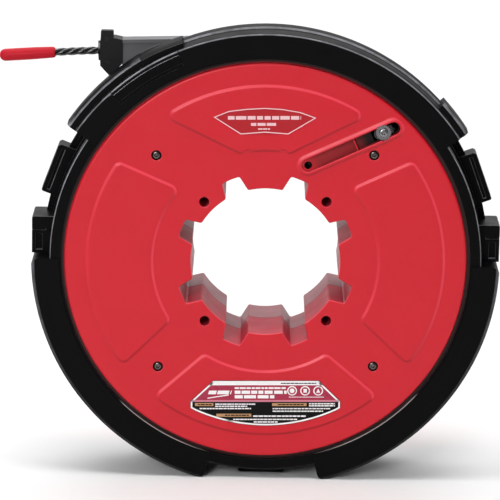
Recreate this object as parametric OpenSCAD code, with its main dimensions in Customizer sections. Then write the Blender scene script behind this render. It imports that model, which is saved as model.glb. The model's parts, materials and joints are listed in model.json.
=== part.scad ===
// Fish tape reel: a drum cartridge that turns inside a guarded ring housing.
// Seen from the front, X runs right and Z runs up. The drum axis is parallel to Y,
// and Y runs away from the viewer. Z = 0 is the floor under the two feet.

/* [Housing] */
// Height of the drum axis above the floor
axis_h = 171; // [170:0.5:171.5]
// Outer radius of the guards
guard_r = 178.5; // [178:0.5:180]
// Outer radius of the ring wall
ring_r = 164.4; // [164.2:0.1:164.8]
// Thickness of the ring wall
ring_wall = 3.5; // [3:0.5:4]
// Inner radius of the ring's two flanges
flange_r = 156; // [155.5:0.5:156.5]
// Distance of the housing's front face in front of the drum's middle plane
ring_front = 46; // [45:0.5:46.5]
// Distance of the housing's rear face behind the drum's middle plane
ring_back = 37; // [36:0.5:38]

/* [Drum] */
// Radius of the drum's two discs
disc_r = 153.2; // [152:0.2:153.6]
// Distance of the front disc's face in front of the middle plane
face = 46.5; // [46:0.1:46.8]
// Height of the raised sector pads
pad_h = 1; // [0.6:0.1:1.4]
// Radius of the hub opening at the tips of its teeth
tooth_tip_r = 56.9; // [55:0.1:58]
// Radius of the hub opening at the bottom of its notches
notch_r = 68.7; // [68:0.1:69.5]
// Turn of the drum in the housing at rest, in degrees
drum_rest = 1.2; // [0:0.1:3]

/* [Tape] */
// Diameter of the twisted tape
tape_d = 6.1; // [5:0.1:6.4]
// Length of tape between the nozzle's mouth and the fitting on its end
tape_shown = 37; // [37:1:40]
// Length of the tip cap
cap_len = 42.6; // [36:0.1:46]
// Diameter of the tip cap at its middle
cap_d = 9.4; // [9:0.1:10]

/* [Hidden] */

$fn = 96;
eps = 0.02;

RED = "#cf2a38";
BLACK = "#1b1b1d";
RUBBER = "#232326";
STEEL = "#9b9da1";

// Housing. Distances along the axis are forward of the drum's middle plane.
seam = (ring_front - ring_back) / 2;
flange_t = 3.2;
wall_r = ring_r - ring_wall;
rib_r = 168;
side_rib_r = 171;
side_ribs = [[0.4, 33.4], [146.6, 179.6]];
skin_t = 1.2;
skin_wall = 3;
skin_front = ring_front + skin_t;
skin_back = ring_back + skin_t;
skin_inner = flange_r + 1.2;
edge_round = 3.5;
crown_start = seam - 8;
crown_drop = 5;
top_guard = [34, 146];
top_guard_r = guard_r + 0.8;
top_edge_r = 173.8;
top_edge_round = 1.8;
widest = 22;
top_guard_back = -14;
top_guard_tail = 172.5;
end_ribs = [[33.9, 43.2, 182.5], [122.5, 146.2, 183]];
left_guard = [180.3, 255.5];
right_guard = [284.5, 359.7];
ring_screw_r = 166.9;
ring_screw_angles = [47, 66, 84, 141, 195, 240, 300, 345];
boss_gap = 0.3;
boss_r = 4.2;
screw_head_r = 3;
screw_shank_r = 2;

lug_turn = 20.2;
lug_f = [-5, 14];
catch_f = [-3.5, 32.5];
catch_top = 28.9;

// Drum
disc_t = 3;
back_face = -(ring_back + 0.5);
front_most = face + pad_h + 0.3;
hub_back = -front_most;
drum_seam = face - 54;
hub_wall_r = 73.5;
lip_r = 158.4;
lip_gap = 0.5;
lip_t = 2.6;
teeth = 8;
tip_half = 13.4;
root_half = 16.46;
pad_in_r = 85;
pad_out_r = 137;
// Corners of the four pads: inner, outer, outer, inner
PADS = [
    [[-65.4, 57.9], [-110.5, 78.2], [-107.9, -81.2], [-71.5, -46.3]],
    [[65.4, 57.9], [110.5, 78.2], [107.9, -81.2], [71.5, -46.3]],
    [[-23.3, 84.9], [-78.4, 112.2], [78.4, 112.2], [23.3, 84.9]],
    [[-47.4, -71.7], [-84.6, -103.6], [84.6, -103.6], [47.4, -71.7]]
];
drum_screw_r = 116.5;
hub_screw_r = 65.6;
hub_head_depth = 34;
corners = [45, 135, 225, 315];

// Anchor slot in the front disc: its inner end, direction and length
slot_at = [32.4, 74.6];
slot_turn = 23.8;
slot_len = 70.5;
slot_w = 10;
slot_rim_w = 2.2;
slot_floor = 9;
ramp_depth = 6;
rib_s = 38.6;
anchor_seat = 4.2;
anchor_s = 62.2;
washer_r = 5.9;

// Tape: the line that it follows out of the ring, and the coil inside the drum
exit_x = -128.8;
exit_z = 153.2;
exit_slope = 2.2;
tape_r = tape_d / 2;
coil_out_r = 154.5;
coil_layers = 4;
coil_turns_wide = 8;
lead_back = 82;
bore_r = 4.3;
// Places along the tape from the nozzle's mouth, and how far each lies below the straight line
ROUTE = [[0, 0], [6, 0], [12, 0.1], [18, 0.2], [24, 0.4], [30, 0.6], [tape_shown, 0.8]];
cap_tilt = 2.2;
cap_lap = 1;

// Nozzle block
plate_x = [-128.8, -112.2];
plate_half = 8.5;
body_half = 7.5;
funnel_x = plate_x[1] + 0.05;
nozzle_screws_at = [[-124.2, 163], [-123.5, 145.9]];
nozzle_screw_r = 1.1;
nozzle_screw_len = 6;
peg_depth = 6.5;

module on_axis() translate([0, 0, axis_h]) rotate([90, 0, 0]) children();
module drum_turned() on_axis() rotate([0, 0, drum_rest]) children();
module slab(from, to) translate([0, 0, from]) linear_extrude(to - from) children();
module turned(span) rotate([0, 0, span[0]]) rotate_extrude(angle = span[1] - span[0]) children();
module copies(angles, r) for (a = angles) rotate([0, 0, a]) translate([r, 0, 0]) children();
module rod(r, from, to) translate([0, 0, from]) cylinder(r = r, h = to - from, $fn = 48);

function at(r, a) = [r * cos(a), r * sin(a)];
function beyond(p, q, k) = q + (q - p) * k;
function corner(c, r, from, to, steps = 6) =
    [for (i = [0 : steps]) c + at(r, from + (to - from) * i / steps)];

// A line along the tape: x grows towards the tip, from the nozzle's mouth
module on_tape() translate([0, 0, axis_h]) translate([exit_x, -seam, exit_z])
    rotate([0, -exit_slope, 0]) rotate([0, -90, 0]) children();

module tape_way(r, from, to) on_tape() rod(r, from, to);

// Screw with a star recess in its head. Its head's top is at z = 0.
module star_screw(head_r, head_t, shank_r, length) {
    difference() {
        union() {
            rod(head_r, -head_t, 0);
            rod(shank_r, -length, -head_t + eps);
        }
        slab(-head_t * 0.6, 1) star(head_r / 2);
    }
}

module star(r) {
    circle(r = r * 0.72, $fn = 24);
    for (i = [0 : 2]) rotate(i * 60) square([r * 2, r * 0.62], center = true);
}

// ---- Housing ring ----

// The upper shell screws sit at the back of the top guard, and the lower ones at the back of the ring
function boss_start(a) = a < 180 ? top_guard_back + 2 : -ring_back + boss_gap + 0.1;
module at_ring_screw(a) rotate([0, 0, a]) translate([ring_screw_r, 0, 0]) children();

module ring_profile(front) {
    out = front ? ring_front : -ring_back;
    s = front ? 1 : -1;
    polygon([
        [flange_r, out], [ring_r - 0.8, out], [ring_r, out - s * 0.8],
        [ring_r, seam + s * 22], [rib_r - 2, seam + s * 22], [rib_r - 2, seam + s * 19.5],
        [ring_r, seam + s * 19.5], [ring_r, seam + s * 4], [rib_r, seam + s * 4],
        [rib_r, seam], [wall_r, seam], [wall_r, out - s * flange_t],
        [flange_r, out - s * flange_t]
    ]);
}

// The middle rib stands higher between the top guard and the lower guards
module side_rib(from, grow) translate([rib_r - 1, from - grow])
    square([side_rib_r - rib_r + 1 + grow, 3.3 + 2 * grow]);

module ring_shell(front) {
    difference() {
        on_axis() {
            rotate_extrude() ring_profile(front);
            for (span = side_ribs) turned(span) side_rib(front ? seam + 0.3 : seam - 3.6, 0);
            for (a = ring_screw_angles) at_ring_screw(a)
                if (front) rod(boss_r, seam + boss_gap, seam + 26);
                else rod(boss_r, boss_start(a), seam - boss_gap);
        }
        on_axis() for (a = ring_screw_angles) at_ring_screw(a)
            if (front) rod(screw_shank_r, seam - 1, seam + 18);
            else {
                rod(screw_shank_r + 0.3, -ring_back, seam + 1);
                rod(screw_head_r + 0.4, -ring_back - 1, boss_start(a) + 6);
            }
        tape_way(bore_r + 0.6, -lead_back - 46, 20);
    }
}

module ring_front_shell() color(BLACK) ring_shell(true);
module ring_rear_shell() color(BLACK) ring_shell(false);

module ring_screws() color(STEEL) on_axis() for (a = ring_screw_angles) at_ring_screw(a)
    translate([0, 0, boss_start(a) + 3]) mirror([0, 0, 1])
        star_screw(screw_head_r, 3, screw_shank_r, seam + 12 - boss_start(a));

// ---- Guards ----

module guard_outline() {
    polygon(concat(
        [[skin_inner, skin_front]],
        corner([guard_r - edge_round, skin_front - edge_round], edge_round, 90, 0),
        [[guard_r, seam + 31], [guard_r - 1.4, seam + 30], [guard_r - 1.4, seam + 25],
         [guard_r, seam + 24], [guard_r, crown_start]],
        corner([guard_r - crown_drop - edge_round, -skin_back + edge_round], edge_round, 0, -90),
        [[skin_inner, -skin_back]]
    ));
}

// The top guard widens from its front edge, and narrows again to its tail
module top_guard_outline() {
    polygon(concat(
        [[skin_inner, skin_front]],
        corner([top_edge_r, skin_front - top_edge_round], top_edge_round, 90, 10),
        [[177, 36.5], [175.9, 35.5], [176.9, 30.5], [178.4, 29.5], [top_guard_r, widest],
         [top_guard_r - 0.4, widest - 4], [top_guard_tail, top_guard_back], [skin_inner, top_guard_back]]
    ));
}

module top_guard_hollow() {
    polygon([
        [flange_r - 1, ring_front], [ring_r + 0.1, ring_front],
        [ring_r + 0.1, ring_front - 4], [170.5, ring_front - 4], [173.5, 30], [176, widest],
        [top_guard_tail - 3, top_guard_back + 3], [ring_r + 0.1, top_guard_back + 3],
        [ring_r + 0.1, top_guard_back - 1], [flange_r - 1, top_guard_back - 1]
    ]);
}

module guard_hollow() {
    polygon([
        [flange_r - 1, ring_front], [ring_r + 0.1, ring_front],
        [ring_r + 0.1, ring_front - 4], [guard_r - skin_wall - 1.4, ring_front - 4],
        [guard_r - skin_wall - 1.4, crown_start], [guard_r - skin_wall - crown_drop, -ring_back + 4],
        [ring_r + 0.1, -ring_back + 4], [ring_r + 0.1, -ring_back], [flange_r - 1, -ring_back]
    ]);
}

// Space that the ring's own wall, ribs and flanges take up
module ring_space() {
    c = 0.1;
    polygon([
        [flange_r - 1, ring_front], [ring_r + c, ring_front],
        [ring_r + c, seam + 22 + c], [rib_r - 2 + c, seam + 22 + c], [rib_r - 2 + c, seam + 19.5 - c],
        [ring_r + c, seam + 19.5 - c], [ring_r + c, seam + 4 + c], [rib_r + c, seam + 4 + c],
        [rib_r + c, seam - 4 - c], [ring_r + c, seam - 4 - c], [ring_r + c, seam - 19.5 + c],
        [rib_r - 2 + c, seam - 19.5 + c], [rib_r - 2 + c, seam - 22 - c], [ring_r + c, seam - 22 - c],
        [ring_r + c, -ring_back], [flange_r - 1, -ring_back]
    ]);
}

module end_round(a, side, outer) {
    r = 6;
    rotate([0, 0, a]) translate([outer - r, side * r, 0]) mirror([0, side > 0 ? 1 : 0, 0])
        slab(-60, 60) difference() {
            square(r + 2);
            circle(r = r);
        }
}

// A guard over a span of angles: its outline is the first child, and the hollow inside it the second
module guard(span, outer) {
    wall = 1.1;
    difference() {
        turned(span) children(0);
        turned([span[0] + wall, span[1] - wall]) children(1);
        turned([span[0] - 1, span[1] + 1]) ring_space();
        end_round(span[0], 1, outer);
        end_round(span[1], -1, outer);
        for (a = ring_screw_angles) at_ring_screw(a) {
            rod(screw_head_r + 0.4, -skin_back - 1, boss_start(a) + 4.5);
            rod(boss_r + 0.15, boss_start(a) - 0.1, seam + 26.2);
        }
    }
}

module lower_guard(span) difference() {
    on_axis() guard(span, guard_r) {
        guard_outline();
        guard_hollow();
    }
    translate([-200, -100, -20]) cube([400, 200, 20]);
}

// A thick grip at an end of the top guard, over the front half of its outer face
module end_rib(rib) turned([rib[0], rib[1]]) polygon([
    [176.5, 18.5], [rib[2] - 1, 18.5], [rib[2], 19.5], [rib[2], 39], [rib[2] - 2.5, 43], [174, 43]
]);

module guard_top() color(RUBBER) difference() {
    on_axis() {
        guard(top_guard, top_guard_r) {
            top_guard_outline();
            top_guard_hollow();
        }
        for (rib = end_ribs) end_rib(rib);
    }
    saddle_space();
    nozzle_space();
}

module guard_lower_left() color(RUBBER) lower_guard(left_guard);
module guard_lower_right() color(RUBBER) lower_guard(right_guard);

// ---- Saddle cover let into the top guard in front of the nozzle ----

saddle_span = [113.2, 133];
module saddle_space() on_axis() turned(saddle_span)
    polygon([[163, skin_front - 0.9], [top_guard_r, skin_front - 0.9],
             [top_guard_r, skin_front + 1], [163, skin_front + 1]]);

module saddle_cover() color(BLACK) on_axis() intersection() {
    turned([saddle_span[0] + 0.15, saddle_span[1] - 0.15])
        polygon([[163.2, skin_front - 0.9], [top_guard_r, skin_front - 0.9],
                 [top_guard_r, skin_front + 1], [163.2, skin_front + 1]]);
    union() {
        turned(top_guard) top_guard_outline();
        turned(saddle_span) polygon([[165, skin_front - 0.5], [172.5, skin_front - 0.5],
                                     [172, skin_front + 0.5], [165.5, skin_front + 0.5]]);
    }
}

// ---- Nozzle ----

// Outline of the funnel seen from the front
module funnel_outline(grow = 0) polygon([
    [funnel_x, 163 + grow], [-58, 164.8 + grow], [-48, 158], [-98, 132], [funnel_x, 140]
]);

module nozzle_half(front) {
    f = [front ? seam : seam - body_half, front ? seam + body_half : seam];
    difference() {
        on_axis() slab(f[0], f[1]) difference() {
            funnel_outline();
            circle(r = rib_r + 0.3);
        }
        tape_way(bore_r + 0.8, -lead_back - 46, 20);
        on_axis() copies(ring_screw_angles, ring_screw_r) rod(boss_r + 0.2, -60, 60);
        on_axis() for (s = [-1, 1]) translate([0, 0, seam + s * (body_half - 1.2 + 5)])
            slab(-5, 5) intersection() {
                translate([-2, -3]) funnel_outline();
                difference() { square(400, center = true); circle(r = top_guard_r + 2); }
            }
    }
}

module nozzle_space() on_axis() slab(seam - body_half - 0.1, seam + body_half + 0.1) funnel_outline(0.1);

module nozzle_front_half() color(BLACK) nozzle_half(true);
module nozzle_rear_half() color(BLACK) nozzle_half(false);

module nozzle_end_plate() color(BLACK) difference() {
    front = seam + plate_half;
    on_axis() {
        slab(seam - plate_half, front) polygon([
            [plate_x[0], 163], [plate_x[0], 142.8], [-121.2, 134.7],
            [plate_x[1], 144.2], [plate_x[1], 163], [-117.5, 164.2], [plate_x[0] + 0.5, 164.2]
        ]);
        slab(front - peg_depth, front) polygon([
            [plate_x[0], 160], [plate_x[0] + 0.3, 169.2], [plate_x[0] + 1, 169.9],
            [-119.5, 169.9], [-118.8, 169.2], [-118.8, 160]
        ]);
    }
    tape_way(6.3, -30, 20);
    on_axis() for (p = nozzle_screws_at) translate([p[0], p[1], 0]) {
        rod(nozzle_screw_r + 0.9, front - 1.4, front + 1);
        rod(nozzle_screw_r, front - nozzle_screw_len - 0.5, front + 1);
    }
}

module nozzle_bushing() color(STEEL) difference() {
    union() {
        tape_way(6.2, -16, 0.2);
        tape_way(7.6, 0.2, 1.6);
    }
    tape_way(bore_r, -30, 20);
    tape_way(5.2, 0.8, 20);
    translate([0, 0, axis_h]) translate([plate_x[1], -50, 100]) cube([20, 100, 100]);
}

module nozzle_screws() color(STEEL) on_axis() for (p = nozzle_screws_at)
    translate([p[0], p[1], seam + plate_half - 0.2])
        star_screw(nozzle_screw_r + 0.7, 1.2, nozzle_screw_r, nozzle_screw_len);

// ---- Side lugs, side catches and bottom tab ----

// Space that the ring and its higher rib take up beside the lugs and the catches
module side_space() turned([-10, 40]) {
    ring_space();
    side_rib(seam - 3.6, 0.1);
    side_rib(seam + 0.3, 0.1);
}

module lug() on_axis() difference() {
    rotate([0, 0, lug_turn]) difference() {
        slab(lug_f[0], lug_f[1]) polygon([
            [162, -17.2], [177, -17.2], [177.9, -16.3], [177.9, 20.4], [176.3, 22], [162, 22]
        ]);
        for (f = [lug_f[0] - 1, lug_f[1] - 2])
            slab(f, f + 3) translate([171.8, -14.5]) square([2.4, 33.5]);
    }
    side_space();
}

module side_lug_right() color(BLACK) lug();
module side_lug_left() color(BLACK) mirror([1, 0, 0]) lug();

module catch() on_axis() difference() {
    slab(catch_f[0], catch_f[1]) polygon([
        [162, 0.4], [178.6, 0.4], [178.6, catch_top - 0.8], [177.8, catch_top], [162, catch_top]
    ]);
    slab(catch_f[1] - 3, catch_f[1] + 1) translate([170.6, 3]) square([5.2, 12.6]);
    slab(catch_f[1] - 1.2, catch_f[1] + 1) translate([168, 18.2]) square([11, 1.1]);
    side_space();
}

module side_catch_right() color(BLACK) catch();
module side_catch_left() color(BLACK) mirror([1, 0, 0]) catch();

module bottom_tab() color(BLACK) on_axis() difference() {
    slab(seam - 26, seam + 27) polygon([
        [-17.7, -162], [-17.7, -169.2], [-16.7, -170.2], [16.7, -170.2], [17.7, -169.2], [17.7, -162]
    ]);
    turned([250, 290]) ring_space();
}

// ---- Drum ----

module tooth() polygon([
    at(tooth_tip_r - 3, tip_half), at(tooth_tip_r, tip_half), at(notch_r + 2, root_half + 0.5),
    at(notch_r + 2, -root_half - 0.5), at(tooth_tip_r, -tip_half), at(tooth_tip_r - 3, -tip_half)
]);

module hub_opening(grow = 0) {
    circle(r = tooth_tip_r + grow);
    difference() {
        circle(r = notch_r + grow);
        for (i = [0 : teeth - 1]) rotate(i * 360 / teeth) tooth();
    }
}

module pad(c) intersection() {
    difference() {
        circle(r = pad_out_r);
        circle(r = pad_in_r);
    }
    polygon([c[0], beyond(c[0], c[1], 1.6), beyond(c[3], c[2], 1.6), c[3]]);
}

module in_slot() translate(slot_at) rotate(slot_turn) children();
module stadium(from, to, w) {
    translate([from, -w / 2]) square([to - from, w]);
    for (x = [from, to]) translate([x, 0]) circle(d = w);
}

module disc_profile(front) {
    s = front ? 1 : -1;
    out = front ? face : back_face;
    lip = front ? ring_front - flange_t - lip_gap : -(ring_back - flange_t - lip_gap);
    polygon([
        [60, out], [disc_r - 1, out], [disc_r, out - s], [disc_r, lip], [lip_r - 0.5, lip],
        [lip_r, lip - s * 0.5], [lip_r, lip - s * lip_t], [disc_r - 3.5, lip - s * lip_t],
        [disc_r - 3.5, out - s * disc_t], [60, out - s * disc_t]
    ]);
}

module drum_front_body() drum_turned() difference() {
    union() {
        rotate_extrude() disc_profile(true);
        rod(hub_wall_r, drum_seam, face);
        for (p = PADS) slab(face - 1, face + pad_h) pad(p);
        slab(face - 1, face + pad_h) in_slot() stadium(0, slot_len, slot_w + 2 * slot_rim_w + 2);
        slab(face - 12, face - 1) in_slot() stadium(0, slot_len, slot_w + 5);
        copies(corners, drum_screw_r) rod(7, face - 8, face - 1);
    }
    slab(drum_seam - 1, face + 5) hub_opening();
    slab(drum_seam - 1, drum_seam + 0.5) hub_opening(0.5);
    slot_cut();
    copies(corners, drum_screw_r) {
        rod(4, face - 3.5, face + 5);
        rod(screw_shank_r + 0.2, face - 20, face);
        rod(5.1, face - 20, face - 6);
    }
    copies(corners, hub_screw_r) {
        rod(3.9, face - hub_head_depth, face + 5);
        rod(screw_shank_r + 0.2, drum_seam - 1, face);
    }
}

module drum_front_half() color(RED) {
    drum_front_body();
    anchor_bridge();
}

// A wedge cut along the slot: places along it against depths below the disc's face
module slot_wedge(outline) in_slot() translate([0, 0, face]) rotate([90, 0, 0])
    linear_extrude(slot_w, center = true) polygon(outline);

// The channel for the tape's inner end: a ramp, a cross rib, and a way through the disc
module slot_cut() {
    slab(face - 1.5, face + 5) in_slot() stadium(0, slot_len, slot_w);
    slot_wedge([[0, 1], [rib_s, 1], [rib_s, -ramp_depth], [0, -1.5]]);
    slot_wedge([[rib_s + 1.2, 1], [slot_len, 1], [slot_len, -slot_floor], [rib_s + 1.2, -ramp_depth]]);
    slab(face - slot_floor, face) in_slot() stadium(slot_len - 8, slot_len, slot_w);
    slab(face - 20, face) in_slot() stadium(53, slot_len, slot_w);
    slab(face - 3, face + 5) in_slot() translate([anchor_s, 0]) circle(r = washer_r + 0.3);
    slab(face - 12.5, face) in_slot() circle(r = 3);
}

// The bridge across the channel that the anchor screw bites in
module anchor_bridge() at_anchor() difference() {
    slab(face - 12, face - anchor_seat) square([9, slot_w + 1], center = true);
    rod(screw_shank_r, face - 13, face);
}

module drum_rear_half() color(RED) drum_turned() difference() {
    union() {
        rotate_extrude() disc_profile(false);
        rod(hub_wall_r, back_face, drum_seam);
        rotate_extrude() polygon([[60, back_face + 1], [88, back_face + 1], [88, back_face],
            [84, hub_back + 1.5], [82.5, hub_back], [60, hub_back]]);
        for (p = PADS) slab(back_face - pad_h, back_face + 1) intersection() {
            pad(p);
            difference() { circle(r = 150); circle(r = 92); }
        }
        copies(corners, drum_screw_r) rod(5, back_face + 1, face - 6.2);
        for (i = [0 : 15]) rotate([0, 0, i * 22.5]) slab(back_face + 2, back_face + 9)
            translate([hub_wall_r - 2, -1]) square([42, 2]);
    }
    slab(hub_back - 1, drum_seam + 1) hub_opening();
    slab(drum_seam - 0.5, drum_seam + 1) hub_opening(0.5);
    copies(corners, drum_screw_r) rod(screw_shank_r, face - 20, face);
    copies(corners, hub_screw_r) rod(screw_shank_r, drum_seam - 22, drum_seam + 1);
}

module drum_screws() color(BLACK) drum_turned() copies(corners, drum_screw_r)
    translate([0, 0, face - 1]) star_screw(3.4, 2.5, screw_shank_r, 18);

module hub_screws() color(BLACK) drum_turned() copies(corners, hub_screw_r)
    translate([0, 0, face - hub_head_depth + 2.5]) star_screw(3.6, 2.5, screw_shank_r, 42);

module at_anchor() drum_turned() translate(slot_at) rotate(slot_turn) translate([anchor_s, 0]) children();

module anchor_clamp() color(STEEL) at_anchor() difference() {
    union() {
        slab(face - anchor_seat, face - anchor_seat + 1.6) stadium(-3.5, 3, 8);
        slab(face - anchor_seat, face - anchor_seat + 1.6) translate([3, -3]) square([4.5, 6]);
        slab(face - 13, face - anchor_seat + 1.6) translate([5.9, -3]) square([1.6, 6]);
    }
    rod(screw_shank_r + 0.2, face - 20, face);
}

module anchor_washer() color(STEEL) at_anchor() difference() {
    slab(face - anchor_seat + 1.6, face - anchor_seat + 3) {
        circle(r = washer_r - 0.5);
        for (i = [0 : 23]) rotate(i * 15) translate([washer_r - 1, -0.4]) square([1, 0.8]);
    }
    rod(screw_shank_r + 0.2, face - 20, face);
}

module anchor_screw() color(STEEL) at_anchor() translate([0, 0, face - anchor_seat + 5.3])
    star_screw(4.1, 2.3, screw_shank_r, 11.5);

module tape_coil() color(BLACK) drum_turned() rotate_extrude() translate([
    coil_out_r - coil_layers * tape_d, seam - coil_turns_wide * tape_d / 2 - tape_r
]) square([coil_layers * tape_d, (coil_turns_wide + 1) * tape_d]);

module spec_outline() intersection() {
    circle(r = 118.6);
    polygon([[-38.4, 111.5], [-17.9, 99], [17.9, 99], [38.4, 111.5], [30, 125], [-30, 125]]);
}

module spec_label() color("#a92430") drum_turned() slab(face + pad_h, face + pad_h + 0.3) spec_outline();

module warning_outline() intersection() {
    circle(r = 128.9);
    polygon([[-40, -93], [41, -93], [57.6, -109.5], [57.6, -114], [30, -140], [-30, -140],
             [-57.6, -114], [-57.6, -109.5]]);
}

module warning_label() color("#151515") drum_turned()
    slab(face + pad_h, face + pad_h + 0.3) warning_outline();

// ---- Tape end ----

module tape_lead() color(BLACK) tape_way(tape_r, -lead_back, 0);

// Centre of the tape at a place along it: along the slide line, and down from it
function route_at(p) = [
    exit_x - p[0] * cos(exit_slope), -seam, axis_h + exit_z - p[0] * sin(exit_slope) - p[1]
];

function lean(i) = let (
    a = route_at(ROUTE[max(i - 1, 0)]), b = route_at(ROUTE[min(i + 1, len(ROUTE) - 1)])
) atan2(b[2] - a[2], b[0] - a[0]);

function hoop(i, sides, r) = [for (k = [0 : sides - 1]) let (
    a = k * 360 / sides, t = lean(i), c = route_at(ROUTE[i])
) [c[0] - r * sin(a) * sin(t), c[1] + r * cos(a), c[2] + r * sin(a) * cos(t)]];

module swept(r, sides = 12) {
    n = len(ROUTE);
    points = [for (i = [0 : n - 1]) each hoop(i, sides, r)];
    walls = [for (i = [0 : n - 2], k = [0 : sides - 1]) let (m = (k + 1) % sides)
        [i * sides + k, i * sides + m, (i + 1) * sides + m, (i + 1) * sides + k]];
    ends = [[for (k = [sides - 1 : -1 : 0]) k], [for (k = [0 : sides - 1]) (n - 1) * sides + k]];
    polyhedron(points, concat(walls, ends), convexity = 4);
}

module tape_free_end() color(BLACK) swept(tape_r);

// The fitting and the cap lie along a line that leans a little more than the tape's
module on_cap() translate(route_at(ROUTE[len(ROUTE) - 1]))
    rotate([0, -exit_slope - cap_tilt, 0]) rotate([0, -90, 0]) children();

module tape_tip_fitting() color(STEEL) on_cap() difference() {
    union() {
        rod(tape_r + 0.2, 0, 20);
        translate([0, 0, 24]) rotate([90, 0, 0]) rod(4.4 - 1.2, -1.5, 1.5);
        translate([-1.6, -1.5, 15]) cube([3.2, 3, 10]);
    }
    translate([0, 0, 24.6]) rotate([90, 0, 0]) rod(1.5, -5, 5);
}

module tip_cap() color("#d83a48") on_cap() translate([0, 0, -cap_lap]) difference() {
    rotate_extrude() polygon(concat(
        [[0, -1]],
        corner([cap_d / 2 - 1.4, 0.4], 1.4, -90, 0),
        [[cap_d / 2, cap_len * 0.45]],
        corner([0, cap_len - cap_d / 2], cap_d / 2 - 0.3, 0, 90)
    ));
    rod(tape_r + 0.55, -2, 29);
}

ring_front_shell();
ring_rear_shell();
ring_screws();
guard_top();
guard_lower_left();
guard_lower_right();
saddle_cover();
nozzle_front_half();
nozzle_rear_half();
nozzle_end_plate();
nozzle_bushing();
nozzle_screws();
side_lug_left();
side_lug_right();
side_catch_left();
side_catch_right();
bottom_tab();
drum_front_half();
drum_rear_half();
drum_screws();
hub_screws();
anchor_clamp();
anchor_washer();
anchor_screw();
tape_coil();
spec_label();
warning_label();
tape_lead();
tape_free_end();
tape_tip_fitting();
tip_cap();
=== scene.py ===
import json
import math
import random

import bmesh
import bpy
from mathutils import Matrix, Vector
from mathutils.geometry import delaunay_2d_cdt


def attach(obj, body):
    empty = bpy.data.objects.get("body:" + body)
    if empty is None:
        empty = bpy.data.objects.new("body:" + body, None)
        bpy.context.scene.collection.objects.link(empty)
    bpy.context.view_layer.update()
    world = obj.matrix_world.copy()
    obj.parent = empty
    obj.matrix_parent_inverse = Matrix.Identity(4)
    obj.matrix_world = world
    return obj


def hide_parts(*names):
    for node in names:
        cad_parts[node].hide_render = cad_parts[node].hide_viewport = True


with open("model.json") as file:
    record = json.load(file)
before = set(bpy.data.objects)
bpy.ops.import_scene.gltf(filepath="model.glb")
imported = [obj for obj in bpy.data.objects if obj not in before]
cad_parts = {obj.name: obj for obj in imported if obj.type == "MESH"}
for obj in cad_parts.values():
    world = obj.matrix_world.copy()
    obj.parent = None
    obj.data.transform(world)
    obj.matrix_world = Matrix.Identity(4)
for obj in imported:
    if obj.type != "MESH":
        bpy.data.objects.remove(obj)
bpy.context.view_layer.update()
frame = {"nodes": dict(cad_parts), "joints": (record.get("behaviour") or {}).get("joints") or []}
nodes = frame["nodes"]

# Sizes are millimetres in the drum's own drawing plane: x right, up from the axis, and f forward of the
# housing's middle plane. place() and on_drum() turn them into metres in the part's frame. The materials
# work in metres throughout, because they read their places from the shaded objects.
MM = 0.001
AXIS_H = frame["joints"][0]["pos_m"][2] / MM
DRUM_REST = math.radians(1.2)  # how far the drum is turned in its ring at rest
FACE = 46.5  # the drum's front face, between its raised pads
PAD_H = 1.0
SEAM = 4.5  # where the ring's shells and the nozzle's halves meet
DRUM_SEAM = FACE - 54.0  # where the drum's halves meet in the hub
HUB_BACK = -47.8
BACK_FACE = -37.5


def place(x, up, f):
    """A place that stays with the housing, in metres."""
    return Vector((x, -f, AXIS_H + up)) * MM


def on_drum(x, up, f):
    """A place on the drum, as it is turned at rest, in metres."""
    c, s = math.cos(DRUM_REST), math.sin(DRUM_REST)
    return place(x * c - up * s, x * s + up * c, f)


def polar(r, degrees):
    """A point of the drawing plane from its distance and its angle from x."""
    a = math.radians(degrees)
    return (r * math.cos(a), r * math.sin(a))


# ---- Camera ----

ROLL = math.radians(1.2)
ELEVATION = math.radians(12.8)
DISTANCE = 2.84
LENS = 268.7
SENSOR = 36
SHIFT = (-0.0307, 0.0236)
FAR_CLIP = 50


def add_camera():
    data = bpy.data.cameras.new("camera")
    camera = bpy.data.objects.new("camera", data)
    bpy.context.scene.collection.objects.link(camera)
    roll = Matrix.Rotation(-ROLL, 3, "Y")
    offset = roll @ Vector((0, -DISTANCE * math.cos(ELEVATION), DISTANCE * math.sin(ELEVATION)))
    back = offset.normalized()
    right = (roll @ Vector((0, 0, 1))).cross(back).normalized()
    pose = Matrix((right, back.cross(right), back)).transposed().to_4x4()
    pose.translation = place(0, 0, FACE) + offset
    camera.matrix_world = pose
    data.lens = LENS
    data.sensor_width = SENSOR
    data.shift_x, data.shift_y = SHIFT
    data.clip_end = FAR_CLIP
    bpy.context.scene.camera = camera


add_camera()
bpy.context.scene.view_settings.view_transform = "Standard"


# ---- Materials ----

class Tree:
    """A node tree, with short calls for the nodes that the finishes and the world below share."""

    def __init__(self, tree):
        self.tree = tree

    def new(self, kind):
        return self.tree.nodes.new("ShaderNode" + kind)

    def link(self, source, target):
        self.tree.links.new(source, target)

    def ranged(self, value, low, high, to_low=0.0, to_high=1.0):
        node = self.new("MapRange")
        self.link(value, node.inputs["Value"])
        for key, number in (("From Min", low), ("From Max", high), ("To Min", to_low), ("To Max", to_high)):
            node.inputs[key].default_value = number
        return node.outputs[0]

    def maths(self, operation, a, b=0.0):
        node = self.new("Math")
        node.operation = operation
        for socket, value in zip(node.inputs, (a, b)):
            if isinstance(value, float):
                socket.default_value = value
            else:
                self.link(value, socket)
        return node.outputs[0]

    def times(self, *factors):
        product = factors[0]
        for factor in factors[1:]:
            product = self.maths("MULTIPLY", product, factor)
        return product

    def parts(self, vector):
        """The X, Y and Z of a vector."""
        split = self.new("SeparateXYZ")
        self.link(vector, split.inputs[0])
        return split.outputs


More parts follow.
